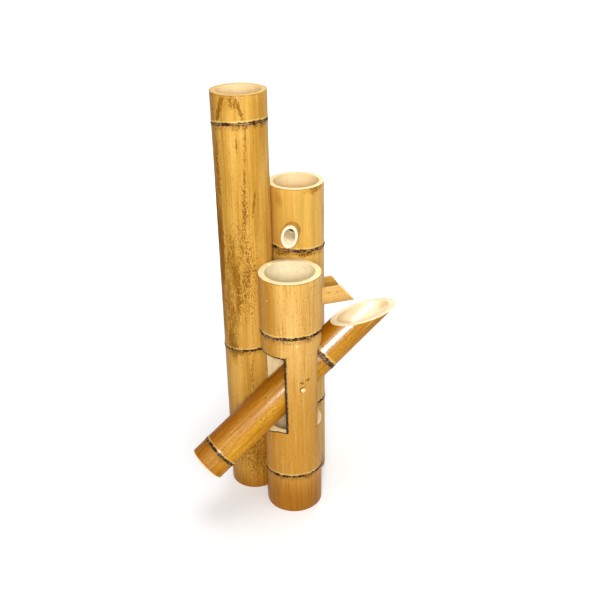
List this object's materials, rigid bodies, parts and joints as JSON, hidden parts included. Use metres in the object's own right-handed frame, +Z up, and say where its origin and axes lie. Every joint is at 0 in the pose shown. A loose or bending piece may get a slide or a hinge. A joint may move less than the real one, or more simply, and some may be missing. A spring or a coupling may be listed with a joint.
{
  "type": "shishi odoshi",
  "caption": "Bamboo garden fountain: upright canes with cups and slant-cut spouts feed a tilting bamboo tube that pivots in the front post's slot.",
  "frame": {"origin": "centre of the rocker post's hollow foot, on the floor", "axes": "+Z up along the canes, +X to the right and +Y to the back in the picture's view"},
  "size_m": [0.3384, 0.2534, 0.7],
  "materials": {
    "bamboo_tall": "golden bamboo skin, brown stains, satin",
    "bamboo_spout_cane": "pale golden bamboo skin, satin",
    "bamboo_post": "golden bamboo skin, satin",
    "bamboo_rocker": "orange golden bamboo skin, polished",
    "bamboo_small": "pale thin bamboo, satin",
    "peg_wood": "plain split bamboo",
    "pipe_plastic": "matte black pipe",
    "grommet_rubber": "matte rubber",
    "elbow_brass": "plain turned brass"
  },
  "bodies": {
    "stand": {"rocker_post": "bamboo_post", "spout_cane": "bamboo_spout_cane", "tall_cane": "bamboo_tall", "pivot_pin": "peg_wood", "pivot_spacers": "peg_wood", "pour_spout": "bamboo_small", "feed_spout": "bamboo_small", "cross_rod": "bamboo_small", "joining_pegs": "peg_wood", "riser_pipe": "pipe_plastic", "riser_grommet": "grommet_rubber", "hose_elbow": "elbow_brass"},
    "rocker": {"rocker_tube": "bamboo_rocker"}
  },
  "joints": [
    {"name": "rocker_pivot", "type": "hinge", "parent": "stand", "child": "rocker", "pos_m": [0, 0, 0.2448], "axis": [-0.3746, 0.9272, 0], "range_deg": [0, 70]}
  ]
}
